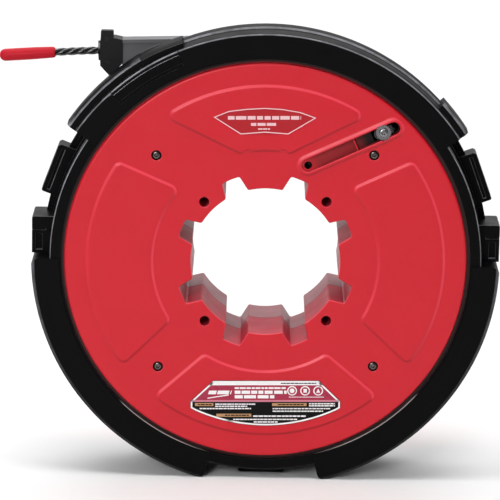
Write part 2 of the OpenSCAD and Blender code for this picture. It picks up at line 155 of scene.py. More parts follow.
class Nodes(Tree):
    """A material's node tree, which ends in one principled shader."""

    def __init__(self, name):
        self.material = bpy.data.materials.new(name)
        self.material.use_nodes = True
        super().__init__(self.material.node_tree)
        self.tree.nodes.clear()
        self.shader = self.new("BsdfPrincipled")
        self.link(self.shader.outputs[0], self.new("OutputMaterial").inputs[0])
        self.coords = self.new("TexCoord").outputs["Object"]

    def noise(self, scale, detail, rough=0.55, stretch=None):
        node = self.new("TexNoise")
        for key, value in (("Scale", scale), ("Detail", detail), ("Roughness", rough)):
            node.inputs[key].default_value = value
        source = self.coords
        if stretch:
            mapping = self.new("Mapping")
            mapping.inputs["Scale"].default_value = stretch
            self.link(source, mapping.inputs["Vector"])
            source = mapping.outputs[0]
        self.link(source, node.inputs["Vector"])
        return node.outputs["Fac"]

    def mixed(self, factor, a, b):
        node = self.new("Mix")
        node.data_type = "RGBA"
        self.link(factor, node.inputs["Factor"])
        for socket, value in ((node.inputs["A"], a), (node.inputs["B"], b)):
            if isinstance(value, tuple):
                socket.default_value = (*value, 1)
            else:
                self.link(value, socket)
        return node.outputs["Result"]

    def bump(self, height, distance, strength, normal=None):
        node = self.new("Bump")
        node.inputs["Strength"].default_value = strength
        node.inputs["Distance"].default_value = distance
        self.link(height, node.inputs["Height"])
        if normal is not None:
            self.link(normal, node.inputs["Normal"])
        return node.outputs[0]

    def normal(self):
        return self.parts(self.new("NewGeometry").outputs["Normal"])

    def set(self, **values):
        for key, value in values.items():
            self.shader.inputs[key.replace("_", " ").title().replace("Ior", "IOR")].default_value = value

    def drive(self, key, source):
        self.link(source, self.shader.inputs[key])


def shade(colour, k):
    """A colour k times as bright, up to white."""
    return tuple(min(1.0, c * k) for c in colour)


def from_axis(n):
    """How far the place being shaded is from the drum's axis, and how far forward, in metres."""
    x, y, z = n.parts(n.coords)
    up = n.maths("SUBTRACT", z, AXIS_H * MM)
    radius = n.maths("SQRT", n.maths("ADD", n.maths("POWER", x, 2.0), n.maths("POWER", up, 2.0)))
    return radius, n.maths("MULTIPLY", y, -1.0)


def painted_edge_highlight(n, colour, edge):
    """A painted highlight on the rounded edges between front faces and the sides, stronger where they face
    up.
    """
    _, y, z = n.normal()
    forward = n.maths("MULTIPLY", y, -1.0)
    rising = n.times(n.ranged(forward, 0.42, 0.6), n.ranged(forward, 0.9, 0.97, 1.0, 0.0))
    lifted = n.ranged(z, -0.35, 0.3, 0.12, 1.0)
    broken = n.ranged(n.noise(120, 5), 0.35, 0.6, 0.55, 1.0)
    return n.mixed(n.times(rising, lifted, broken), colour, edge)


RING_LIP_R = 0.1563
LIP_TIP = 0.045  # how much higher the line reaches on the right, for each metre
# The tone of the painted highlight on the ring's lip
LIP_HIGHLIGHT = (0.50, 0.44, 0.43)


def painted_lip_highlight(n, colour):
    """A painted highlight: a thin pale line on the ring shell's inner lip, low on both sides, where it faces
    up.
    """
    x, _, z = n.parts(n.coords)
    off_line = n.maths("ABSOLUTE", n.maths("SUBTRACT", from_axis(n)[0], RING_LIP_R))
    near = n.ranged(off_line, 0.0001, 0.0004, 1.0, 0.0)
    low = n.ranged(n.maths("SUBTRACT", z, n.maths("MULTIPLY", x, LIP_TIP)), 0.0645, 0.0605)
    beside = n.ranged(z, 0.020, 0.028)
    return n.mixed(n.times(near, low, beside), colour, LIP_HIGHLIGHT)


def moulded(name, colour, rough, specular, vary, worn, edge=None, lip=False, grain=1100.0, depth=0.00003):
    """Moulded plastic: mottled and grainy, with faint scratches, lighter worn specks, and painted highlights
    on rounded edges and on the ring's lip where they are asked for.
    """
    n = Nodes(name)
    mottled = n.mixed(n.noise(38, 5), shade(colour, 1 - vary), shade(colour, 1 + vary))
    specks = n.ranged(n.noise(2600, 2), 0.66, 0.78, 0.0, 0.55)
    base = n.mixed(specks, mottled, worn)
    toned = painted_edge_highlight(n, base, edge) if edge else base
    n.drive("Base Color", painted_lip_highlight(n, toned) if lip else toned)
    plastic_grain(n, rough, grain, depth)
    n.set(specular_ior_level=specular)
    return n.material


def plastic_grain(n, rough, grain, depth):
    """Patches and scratches in the roughness, and a fine grain on slow waves in the surface."""
    patches = n.ranged(n.noise(60, 6), 0.3, 0.7, rough - 0.05, rough + 0.06)
    scratches = n.ranged(n.noise(300, 3, 0.6, (1.0, 1.0, 0.06)), 0.62, 0.72, 0.0, 0.07)
    n.drive("Roughness", n.maths("ADD", patches, scratches))
    waves = n.bump(n.noise(90, 2), 0.00004, 0.5)
    n.drive("Normal", n.bump(n.noise(grain, 3), depth, 0.7, waves))


# Painted highlight and painted shade for the drum's raised edges
LIT_EDGE = (0.80, 0.075, 0.11)
SHADED_EDGE = (0.22, 0.004, 0.007)
# Painted shade in the drum's recesses, and near black in their deepest parts
RECESS_SHADE = (0.22, 0.015, 0.018)
DEEP_RECESS_SHADE = (0.008, 0.003, 0.003)
# Painted shade at the drum's rim, in the gap under the ring
RIM_SHADE = (0.012, 0.004, 0.004)
DRUM_GLOSS = 0.3
# Distances from the axis, in metres, over which one tone of the drum fades into the next
SPLINES_END = (0.0697, 0.0712)
FACE_STARTS = (0.0712, 0.0732)
MOULDING_ENDS = (0.148, 0.150)
RECESSES_END = (0.149, 0.150)
RIM_SHADE_STARTS = (0.1529, 0.1539)
# The same for distances behind the face
MOULDING_STARTS = (0.0022, 0.0004)
RECESS_SHADE_STARTS = (0.0026, 0.001)
DEEP_SHADE_STARTS = (0.0068, 0.0058)


def painted_tilt_light(n, colour, zone):
    """Painted light inside a zone: a painted highlight where raised edges face up or right, and painted shade
    where they face down.
    """
    x, y, z = n.normal()
    tilted = n.times(zone, n.ranged(n.maths("ABSOLUTE", y), 0.93, 0.985, 1.0, 0.0))
    right = n.maths("MULTIPLY", n.ranged(x, 0.0, 1.0), 0.7)
    upward = n.times(n.ranged(n.maths("ADD", z, right), -0.1, 0.3, 0.0, 0.6), tilted)
    downward = n.times(n.ranged(z, -0.12, -0.4, 0.0, 0.55), tilted)
    return n.mixed(downward, n.mixed(upward, colour, LIT_EDGE), SHADED_EDGE)


def drum_plastic(name, colour, wall_sheen_and_shade, wall_tone_from, wall_tone_strength, wall_gloss, face):
    """Red plastic, with painted sheen and shade in streaks on the splined walls, where the spindle goes in,
    and painted shade, near black, at the rim.

    The painted wall tone starts behind wall_tone_from, metres forward of the housing's middle plane, and
    wall_tone_strength is its strength.
    With a face, the recesses behind it, such as the anchor's channel, get painted shade, a darker red,
    turning near black in their deepest parts."""
    n = Nodes(name)
    radius, forward = from_axis(n)

    def behind(band, low=0.0, high=1.0):
        return n.ranged(forward, face - band[0], face - band[1], low, high)

    toned = n.mixed(n.noise(38, 5), shade(colour, 0.94), shade(colour, 1.05))
    if face:
        # Painted highlight and shade on the raised edges of the face
        moulding = n.times(behind(MOULDING_STARTS), n.ranged(radius, *MOULDING_ENDS, 1.0, 0.0))
        toned = painted_tilt_light(n, toned, moulding)
    # Painted sheen and shade in streaks on the splined walls
    inner = n.ranged(forward, wall_tone_from - 0.0006, wall_tone_from, 1.0, 0.0)
    wall = n.times(n.ranged(radius, *SPLINES_END, 1.0, 0.0), inner)
    streaks = n.ranged(n.noise(420, 3, 0.6, (1.0, 0.05, 1.0)), 0.3, 0.7, 0.8, 1.0)
    toned = n.mixed(n.times(wall, wall_tone_strength, streaks), toned, wall_sheen_and_shade)
    if face:
        # Painted shade in the recesses, darker with depth
        disc = n.times(n.ranged(radius, *FACE_STARTS), n.ranged(radius, *RECESSES_END, 1.0, 0.0))
        recess_shading = n.times(disc, behind(RECESS_SHADE_STARTS, 0.8, 0.0))
        deep_shading = n.times(disc, behind(DEEP_SHADE_STARTS, 1.0, 0.0))
        toned = n.mixed(deep_shading, n.mixed(recess_shading, toned, RECESS_SHADE), DEEP_RECESS_SHADE)
    # Painted shade at the rim: near black from the disc's edge outward, over the lip in the gap under the
    # ring
    n.drive("Base Color", n.mixed(n.ranged(radius, *RIM_SHADE_STARTS, 0.0, 0.975), toned, RIM_SHADE))
    plastic_grain(n, 0.38, 900.0, 0.00002)
    n.drive("Specular IOR Level", n.ranged(wall, 0.0, 1.0, DRUM_GLOSS, wall_gloss))
    return n.material


def plain(name, colour, tone, gloss, grain, waves=None, **settings):
    """A finish from a few noises, each given as its own settings and then the range it is put to."""
    n = Nodes(name)
    n.drive("Base Color", n.mixed(n.noise(*tone[0]), shade(colour, tone[1]), shade(colour, tone[2])))
    n.drive("Roughness", n.ranged(n.noise(*gloss[0]), 0.3, 0.7, *gloss[1:]))
    under = n.bump(n.noise(*waves[0]), *waves[1:]) if waves else None
    n.drive("Normal", n.bump(n.noise(*grain[0]), *grain[1:], under))
    n.set(**settings)
    return n.material


DRAWN = (1.0, 1.0, 0.08)  # stretches a noise into scratches along Z


def metal(name, colour, rough):
    """Steel with fine scratches."""
    return plain(name, colour, ((160, 5), 0.8, 1.15), ((900, 4, 0.6, DRAWN), rough - 0.08, rough + 0.12),
                 ((2400, 3, 0.6, DRAWN), 0.00001, 0.6), metallic=1.0)


def film(name, colour, rough, vary=0.06, specular=0.3):
    """Printed film or ink: near-even colour with a little mottling and orange peel."""
    return plain(name, colour, ((500, 4), 1 - vary, 1 + vary), ((240, 4), rough - 0.05, rough + 0.06),
                 ((700, 2), 0.00001, 0.5), specular_ior_level=specular)


# The wall tones given here are painted sheen and shade for the hub's walls
RED = drum_plastic("red_plastic", (0.565, 0.0100, 0.0215), wall_sheen_and_shade=(0.44, 0.032, 0.065), wall_tone_from=0.0455,
                   wall_tone_strength=0.72, wall_gloss=0.08, face=FACE * MM)
REAR_RED = drum_plastic("rear_red_plastic", (0.52, 0.014, 0.024), wall_sheen_and_shade=(0.25, 0.10, 0.12), wall_tone_from=0.1,
                        wall_tone_strength=0.85, wall_gloss=DRUM_GLOSS, face=None)
# The edge tones here and below are painted highlights on rounded edges
SATIN = dict(rough=0.36, specular=0.06, vary=0.2, worn=(0.009, 0.009, 0.010), edge=(0.27, 0.27, 0.29))
BLACK = moulded("black_plastic", (0.0018, 0.0018, 0.0021), **SATIN)
RING = moulded("ring_plastic", (0.0018, 0.0018, 0.0021), **SATIN, lip=True)
PLATE = moulded("end_plate_plastic", (0.011, 0.011, 0.012), rough=0.42, specular=0.1, vary=0.2,
                worn=(0.02, 0.02, 0.022), edge=(0.27, 0.27, 0.29))
NOZZLE = moulded("nozzle_plastic", (0.10, 0.101, 0.108), rough=0.42, specular=0.3, vary=0.1,
                 worn=(0.09, 0.09, 0.095))
GUARD = moulded("guard_rubber", (0.0020, 0.0020, 0.0023), rough=0.46, specular=0.06, vary=0.2,
                worn=(0.011, 0.011, 0.012), edge=(0.21, 0.21, 0.225), grain=1500.0, depth=0.00005)
DARK_STEEL = metal("blackened_steel", (0.13, 0.115, 0.11), 0.2)
FINE_SCREW = metal("fine_screw_steel", (0.03, 0.028, 0.028), 0.4)
CLAMP_STEEL = metal("clamp_steel", (0.05, 0.05, 0.052), 0.4)
STEEL = metal("plated_steel", (0.24, 0.24, 0.25), 0.26)
# Drawn polyester strand: hard, black and glossy, with fine lines along it
STRAND = plain("tape_strand", (0.006, 0.006, 0.007), ((400, 4), 0.7, 1.6), ((700, 4), 0.14, 0.3),
               ((1800, 3, 0.6, (0.15, 1.0, 1.0)), 0.00002, 0.6),
               specular_ior_level=0.6, coat_weight=0.4, coat_roughness=0.1)
# Dipped soft vinyl: satin, slightly waxy, with drawn ripples round it
CAP = plain("cap_vinyl", (0.46, 0.011, 0.022), ((90, 5), 0.9, 1.08), ((160, 5), 0.36, 0.52),
            ((1500, 3), 0.00002, 0.6), waves=((140, 2, 0.5, (1.0, 0.25, 0.25)), 0.00015, 0.4),
            specular_ior_level=0.1, subsurface_weight=0.05, subsurface_scale=0.002)
SPEC = film("spec_print", (0.40, 0.009, 0.016), 0.34)
STICKER = film("sticker_black", (0.0035, 0.004, 0.0035), 0.36, 0.06, 0.1)
BAND = film("sticker_band", (0.36, 0.022, 0.06), 0.3)
WHITE_INK = film("white_ink", (0.86, 0.84, 0.84), 0.4)
PINK_INK = film("spec_ink", (0.80, 0.50, 0.53), 0.4)
# Painted shade: a near-black ring in each counterbore round the drum's screws
SEAT_SHADE = film("screw_seat_shade", (0.004, 0.003, 0.003), 0.5, 0.2, 0.1)
BAND_LINE = film("band_line", (0.60, 0.20, 0.26), 0.4)
ORANGE_INK = film("orange_ink", (0.46, 0.26, 0.12), 0.4)


def finish(obj, material):
    """Give a piece its material, in place of any it had."""
    obj.data.materials.clear()
    obj.data.materials.append(material)
    return obj


# ---- Mesh helpers ----

def mesh_object(name, points, faces, material, body, angle, weighted=False):
    """A piece from points in metres and faces, its outward side worked out, sharp above the given angle."""
    mesh = bpy.data.meshes.new(name)
    mesh.from_pydata(points, [], faces)
    bm = bmesh.new()
    bm.from_mesh(mesh)
    bmesh.ops.remove_doubles(bm, verts=bm.verts, dist=1e-7)
    bmesh.ops.recalc_face_normals(bm, faces=bm.faces)
    bm.to_mesh(mesh)
    bm.free()
    mesh.shade_smooth()
    mesh.set_sharp_from_angle(angle=math.radians(angle))
    obj = bpy.data.objects.new(name, mesh)
    bpy.context.scene.collection.objects.link(obj)
    if weighted:
        normals = obj.modifiers.new("even_normals", "WEIGHTED_NORMAL")
        normals.keep_sharp = True
        normals.weight = 90
    finish(obj, material)
    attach(obj, body)
    return obj


def rings_to_faces(rings, caps=True, start=0):
    """Quads between successive closed rings of equal length, with flat ends."""
    n = len(rings[0])
    faces = []
    for i in range(len(rings) - 1):
        here, there = start + i * n, start + (i + 1) * n
        for k in range(n):
            m = (k + 1) % n
            faces.append((here + k, here + m, there + m, there + k))
    if caps:
        faces.append(tuple(start + k for k in reversed(range(n))))
        faces.append(tuple(start + (len(rings) - 1) * n + k for k in range(n)))
    return faces


def turns(n):
    """n angles round a full turn."""
    return [2 * math.pi * k / n for k in range(n)]


def circle(r, n, centre=(0, 0)):
    return [(centre[0] + r * math.cos(a), centre[1] + r * math.sin(a)) for a in turns(n)]


def arc(r, a, b, steps, centre=(0, 0)):
    """Points on an arc between two angles in degrees, ends included."""
    spans = [a + (b - a) * k / steps for k in range(steps + 1)]
    return [(centre[0] + polar(r, t)[0], centre[1] + polar(r, t)[1]) for t in spans]


def quarter(n):
    """The angles of a quarter turn in n steps, ends included."""
    return [math.pi / 2 * k / n for k in range(n + 1)]


def read_off(table, x):
    """The value at x in a table of places and values, straight between rows and level beyond the last."""
    for (x0, y0), (x1, y1) in zip(table, table[1:]):
        if x <= x1:
            return y0 + (y1 - y0) * (x - x0) / (x1 - x0)
    return table[-1][1]


def flat_list(lists):
    return [item for items in lists for item in items]


# ---- Cord: the tape's free end, and the cap on its tip ----

TAPE_D = 6.1
EXIT = (-128.8, 153.2)
EXIT_SLOPE = math.radians(2.2)
# Places along the tape from the nozzle's mouth, and how far each lies below the straight line
ROUTE = [[0, 0], [6, 0], [12, 0.1], [18, 0.2], [24, 0.4], [30, 0.6], [37, 0.8]]
TAPE_LENGTH = ROUTE[-1][0]
STRANDS = 4
STRAND_SIDES = 10
TWIST_PITCH = 30.0
TWIST_STEP = 0.9
STRAND_R = TAPE_D / 2 / (1 + math.sqrt(2))
STRAND_ORBIT = STRAND_R * math.sqrt(2)


def along_tape(s, sag=0.0):
    """The tape's middle, s mm past the nozzle's mouth and sag mm below the straight line."""
    x = EXIT[0] - s * math.cos(EXIT_SLOPE)
    up = EXIT[1] - s * math.sin(EXIT_SLOPE) - sag
    return place(x, up, SEAM)


def twisted(start, end, name, body):
    """The tape's strands laid round each other, from start to end mm past the nozzle's mouth."""
    points, faces = [], []
    count = round((end - start) / TWIST_STEP)
    along = Vector((-1, 0, 0)) * TWIST_PITCH / (2 * math.pi * STRAND_ORBIT)
    for number in range(STRANDS):
        rings = []
        for i in range(count + 1):
            s = start + (end - start) * i / count
            turn = 2 * math.pi * (s / TWIST_PITCH + number / STRANDS)
            out = Vector((0, math.cos(turn), math.sin(turn)))
            forward = (along + Vector((0, -math.sin(turn), math.cos(turn)))).normalized()
            across = forward.cross(out)
            middle = along_tape(s, read_off(ROUTE, s)) + out * STRAND_ORBIT * MM
            rings.append([middle + (out * math.cos(a) + across * math.sin(a)) * STRAND_R * MM
                          for a in turns(STRAND_SIDES)])
        faces += rings_to_faces(rings, start=len(points))
        points += flat_list(rings)
    return mesh_object(name, points, faces, STRAND, body, 60)


free_end = twisted(0.0, TAPE_LENGTH, "tape_twisted_end", "tape_end")
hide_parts("tape_free_end")

CAP_TILT = math.radians(2.2)  # how much steeper the cap hangs than the tape
CAP_LENGTH = 40.2
CAP_MOUTH = -2.4
CAP_LIP_R = 3.25
CAP_MOUTH_R = 4.25
CAP_FULL_R = 4.7
CAP_FULL_AT = 22
CAP_END_R = CAP_FULL_R - 0.05
CAP_BORE_R = 3.6
CAP_BORE_END = 28.0
CAP_SIDES = 48
POLE_R = 0.02  # the smallest ring at a rounded or flat end


def on_cap(s, r, a):
    """A point round the line of the cap: s mm past the tape's end, at radius r and angle a."""
    start = along_tape(*ROUTE[-1])
    tilt = EXIT_SLOPE + CAP_TILT
    line = Vector((-math.cos(tilt), 0, -math.sin(tilt)))
    upward = Vector((-math.sin(tilt), 0, math.cos(tilt)))
    return start + (line * s + upward * r * math.cos(a) + Vector((0, 1, 0)) * r * math.sin(a)) * MM


def tip_cap():
    """A dipped cap: open bore, rolled lip at its mouth, fuller towards the tip, with a rounded end."""
    profile = [(CAP_BORE_END, POLE_R), (CAP_BORE_END, CAP_BORE_R), (-0.6, CAP_BORE_R), (-1.4, CAP_LIP_R)]
    profile += [(CAP_MOUTH * math.cos(t), CAP_LIP_R + (CAP_MOUTH_R - CAP_LIP_R) * math.sin(t))
                for t in quarter(8)]
    profile += [(s, CAP_MOUTH_R + (CAP_FULL_R - CAP_MOUTH_R) * math.sin(math.pi / 2 * s / CAP_FULL_AT))
                for s in range(2, 23, 4)]
    profile += [(s, CAP_FULL_R + (CAP_END_R - CAP_FULL_R) * (s - CAP_FULL_AT) / 16) for s in (26, 31, 36)]
    profile += [(CAP_LENGTH - CAP_END_R + CAP_END_R * math.sin(t), max(POLE_R, CAP_END_R * math.cos(t)))
                for t in quarter(12)]
    rings = [[on_cap(s, r, a) for a in turns(CAP_SIDES)] for s, r in profile]
    cap = mesh_object("tip_cap_vinyl", flat_list(rings), rings_to_faces(rings), CAP, "cap", 50)
    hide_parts("tip_cap")
    return cap


cap_piece = tip_cap()
finish(nodes["tape_tip_fitting"], STEEL)


# ---- Floor, light and world ----

FLOOR_HALF = 8.0
WORLD_FRONT = 0.08
WORLD_BEHIND = 0.8
WORLD_TOP = 0.22


def add_floor():
    """A pale, slightly mottled floor, part of the set and not of the object."""
    mesh = bpy.data.meshes.new("floor")
    corners = [(x * FLOOR_HALF, y * FLOOR_HALF, 0) for x, y in ((-1, -1), (1, -1), (1, 1), (-1, 1))]
    mesh.from_pydata(corners, [], [(0, 1, 2, 3)])
    floor = bpy.data.objects.new("floor", mesh)
    bpy.context.scene.collection.objects.link(floor)
    n = Nodes("floor_paint")
    n.drive("Base Color", n.mixed(n.noise(1.5, 4), (0.80, 0.80, 0.80), (0.82, 0.82, 0.82)))
    n.set(roughness=0.9, specular_ior_level=0.1)
    finish(floor, n.material)


def add_light(name, where, aim, size, power, spread=180.0):
    """A rectangular lamp aimed at a place; size in metres, power in watts, spread in degrees."""
    data = bpy.data.lights.new(name, "AREA")
    data.shape = "RECTANGLE"
    data.size, data.size_y = size
    data.energy = power
    data.spread = math.radians(spread)
    light = bpy.data.objects.new(name, data)
    light.location = where
    light.rotation_euler = (Vector(aim) - Vector(where)).to_track_quat("-Z", "Y").to_euler()
    bpy.context.scene.collection.objects.link(light)


def add_world():
    """A white studio: brightest overhead, white behind, and dimmer on the side that the object faces."""
    world = bpy.data.worlds.new("studio")
    bpy.context.scene.world = world
    world.use_nodes = True
    n = Tree(world.node_tree)
    _, y, z = n.parts(n.new("TexCoord").outputs["Generated"])
    behind = n.ranged(y, -0.6, 0.6, WORLD_FRONT, WORLD_BEHIND)
    above = n.ranged(z, 0.3, 1.0, 0.0, WORLD_TOP)
    background = n.tree.nodes["Background"]
    n.link(n.maths("ADD", behind, above), background.inputs["Strength"])
    background.inputs["Color"].default_value = (1.0, 1.0, 1.0, 1)


add_floor()
add_light("key", (-0.8, -2.4, 1.05), (0, 0, 0.17), (0.9, 0.9), 4.4, 60)
add_light("overhead", (-0.1, -0.25, 1.6), (-0.05, 0, 0.2), (1.5, 0.45), 6.0, 110)
add_light("rear_floor", (0, 2.4, 2.4), (0, 2.4, 0), (3.0, 2.5), 60)
add_world()


# ---- Drum halves ----

DISC_R = 153.2
EDGE_R = 2.0  # rounding of the disc's rim
SHEET_R = DISC_R - EDGE_R
SHEET_T = 3.0
RIM_LIP_R = 158.4  # the lip outside the disc, which runs in the ring
RIM_LIP_T = 2.6
RIM_LIP_CUT = 0.5
FRONT_LIP_DROP = 4.2
REAR_LIP_DROP = 3.2
TOOTH_TIP_R = 56.9
NOTCH_R = 68.7
HUB_WALL_R = 73.5
HUB_EDGE = 0.6  # how far the opening's rounded edge reaches outward
TEETH = 8
TOOTH_TURN = 360 / TEETH
TIP_HALF = 13.4
ROOT_HALF = 16.46
CORNER_CUT = 0.9
PAD_IN_R = 85.0
REAR_PAD_IN_R = 92.0
PAD_OUT_R = 137.0
PADS = [
    [(-65.4, 57.9), (-110.5, 78.2), (-107.9, -81.2), (-71.5, -46.3)],
    [(65.4, 57.9), (110.5, 78.2), (107.9, -81.2), (71.5, -46.3)],
    [(-23.3, 84.9), (-78.4, 112.2), (78.4, 112.2), (23.3, 84.9)],
    [(-47.4, -71.7), (-84.6, -103.6), (84.6, -103.6), (47.4, -71.7)],
]
PAD_ROUND = 6.0
BEVEL = [(0.0, 0.0), (0.3, 0.07), (0.8, 0.28), (1.6, 0.68), (2.2, 0.92), (2.7, 1.0)]
# The raised collar round the hub at the rear: its foot, its slope's width, its height, and its inner lip
COLLAR_R = 88.0
COLLAR_SLOPE = 4.0
COLLAR_H = 8.8
COLLAR_LIP_R = 83.2
COLLAR_LIP_H = 1.5
COLLAR_LINES = (82.5, 83.8, COLLAR_R)
CORNERS = (45, 135, 225, 315)
DRUM_SCREW_R = 116.5
DRUM_SEAT = 3.5
# Each kind of counterbore: its radius, its distance from the axis, and its depth
COUNTERBORES = ((4.0, DRUM_SCREW_R, DRUM_SEAT), (3.9, 65.6, 34.0))
COUNTERBORE_EDGE = 0.25
SLOT_AT = (32.4, 74.6)
SLOT_TURN = math.radians(23.8)
SLOT_COS, SLOT_SIN = math.cos(SLOT_TURN), math.sin(SLOT_TURN)
SLOT_LEN = 70.5
SLOT_HALF = 5.0
SLOT_HOLE_R = 3.0
SLOT_HOLE_DEPTH = 14.0
# The slot's floor: its depth at the near end and how much it falls to the rib, and the same beyond the rib
NEAR_DEPTH = 1.5
NEAR_FALL = 4.5
FAR_DEPTH = 6.0
FAR_FALL = 3.0
RIB_S = 38.6
RIB_T = 1.3
RIB_DEPTH = 1.2
ANCHOR_S = 62.2
ANCHOR_SEAT = 4.2
SEAT_HALF = 4.5
WASHER_R = 6.2  # the round recess that the washer lies in
WASHER_DEPTH = 3.0
HOLE_FROM = 53.0  # where the slot is open right through: from here to the anchor's seat, and beyond it
HOLE_GAP = 4.8
WALL = 0.25  # steep walls lean by this much
LEDGE = SLOT_HALF - WALL - 0.4
SLOT_RIM_W = 3.8
SLOT_RIM_LINES = (4.4, SLOT_RIM_W, 3.3, 2.75, 2.2, 1.6, 1.1, 0.4, 0.0, -WALL)
SLOT_FLOOR_LINES = (0.0, 12.0, 26.0, RIB_S - 0.12, RIB_S + 0.12, RIB_S + 1.18, RIB_S + 1.42, 46.0,
                    ANCHOR_S - 4.62, ANCHOR_S - 4.38, ANCHOR_S + 4.38, ANCHOR_S + 4.62)


def hub_outline(grow):
    """The splined opening, grown outward by a few tenths for its edge rounding, with softened corners."""
    tip_r, root_r = TOOTH_TIP_R + grow, NOTCH_R + grow
    tip = TIP_HALF - math.degrees(grow / tip_r)
    root = ROOT_HALF - math.degrees(grow / root_r)
    cut = math.degrees(CORNER_CUT / tip_r)
    low, high = tip_r + CORNER_CUT * 0.8, root_r - CORNER_CUT
    points = []
    for i in range(TEETH):
        middle = i * TOOTH_TURN
        far = middle + TOOTH_TURN - root
        points += arc(tip_r, middle - tip + cut, middle + tip - cut, 8)
        points += [polar(low, middle + tip + 0.1), polar(high, middle + root - 0.1)]
        points += arc(root_r, middle + root + cut, far - cut, 4)
        points += [polar(high, far + 0.1), polar(low, middle + TOOTH_TURN - tip - 0.1)]
    return points


class Pad:
    """A raised sector pad: two straight sides, an inner and an outer arc, and rounded corners."""

    ORDER = ((0, False), (0, True), (1, True), (1, False))  # corners as side and whether on the outer arc

    def __init__(self, corners, inner):
        self.inner = inner
        a0, a1, b1, b0 = (Vector(p) for p in corners)
        self.middle = (a0 + a1 + b0 + b1) / 4
        self.sides = []
        for p, q in ((a0, a1), (b0, b1)):
            across = Vector((-(q - p).y, (q - p).x)).normalized()
            if across.dot(self.middle - p) < 0:
                across = -across
            self.sides.append((p, across))
        self.centres = [self.meet(side, r, PAD_ROUND) for side in self.sides
                        for r in (inner + PAD_ROUND, PAD_OUT_R - PAD_ROUND)]

    def meet(self, side, r, inset):
        """Where a side moved inward by inset meets the circle of radius r, on the pad's own half of it."""
        p, across = side
        foot = across * (p.dot(across) + inset)
        along = Vector((-across.y, across.x))
        if along.dot(self.middle) < 0:
            along = -along
        return foot + along * math.sqrt(r * r - foot.length_squared)

    def corner(self, number, outer):
        """A rounded corner's centre, and the direction in which its arc lies from there."""
        centre = self.centres[number * 2 + outer]
        return centre, centre.normalized() * (1 if outer else -1)

    def inside(self, q):
        """Distance of q inside the pad's outline, negative outside it."""
        q = Vector(q)
        r = q.length
        nearest = min(min((q - p).dot(across) for p, across in self.sides), r - self.inner, PAD_OUT_R - r)
        if nearest > PAD_ROUND:
            return nearest
        for number, outer in self.ORDER:
            centre, radial = self.corner(number, outer)
            away = q - centre
            if away.dot(-self.sides[number][1]) > 0 and away.dot(radial) > 0:
                return PAD_ROUND - away.length
        return nearest

    def outline(self, inset):
        """The pad's outline moved inward by inset, corner by corner."""
        round_r = PAD_ROUND - inset
        points = []
        for number, outer in self.ORDER:
            across = self.sides[number][1]
            centre, radial = self.corner(number, outer)
            a, b = (-across, radial) if (number == 0) == outer else (radial, -across)
            turn = a.angle_signed(b)
            start = math.atan2(a.y, a.x)
            points += [(centre.x + round_r * math.cos(start - turn * k / 6),
                        centre.y + round_r * math.sin(start - turn * k / 6)) for k in range(7)]
            if (number, outer) == (0, True):
                far_centre, far_radial = self.corner(1, True)
                points += self.between(PAD_OUT_R - inset, points[-1], far_centre + far_radial * round_r)
            if (number, outer) == (1, False):
                points += self.between(self.inner + inset, points[-1], points[0])
        return points

    @staticmethod
    def between(r, start, end):
        """Points of the circle of radius r strictly between two places on it, the short way round."""
        a, b = math.atan2(start[1], start[0]), math.atan2(end[1], end[0])
        span = (b - a + math.pi) % (2 * math.pi) - math.pi
        steps = max(2, round(abs(span) * r / 4))
        return [(r * math.cos(a + span * k / steps), r * math.sin(a + span * k / steps))
                for k in range(1, steps)]


def bevel_height(inside):
    """The height of a raised part with a rounded edge, by the distance inside its outline."""
    return read_off(BEVEL, max(0.0, inside))


def in_slot(s, across):
    """The point of the drawing plane s mm along the anchor's slot and across it."""
    return (SLOT_AT[0] + s * SLOT_COS - across * SLOT_SIN, SLOT_AT[1] + s * SLOT_SIN + across * SLOT_COS)


def slot_place(x, y):
    """How far along the slot and across it a point of the drawing plane is."""
    dx, dy = x - SLOT_AT[0], y - SLOT_AT[1]
    return dx * SLOT_COS + dy * SLOT_SIN, -dx * SLOT_SIN + dy * SLOT_COS


def slot_outline(grow):
    """The slot's rounded outline, grown outward."""
    half = SLOT_HALF + grow
    ends = arc(half, 90, 270, 14, (0.0, 0)) + arc(half, -90, 90, 14, (SLOT_LEN, 0))
    return [in_slot(s, across) for s, across in ends]


def slot_side(x, y):
    """Distance outside the slot's edge, negative inside it."""
    s, across = slot_place(x, y)
    return math.hypot(s - min(max(s, 0.0), SLOT_LEN), across) - SLOT_HALF


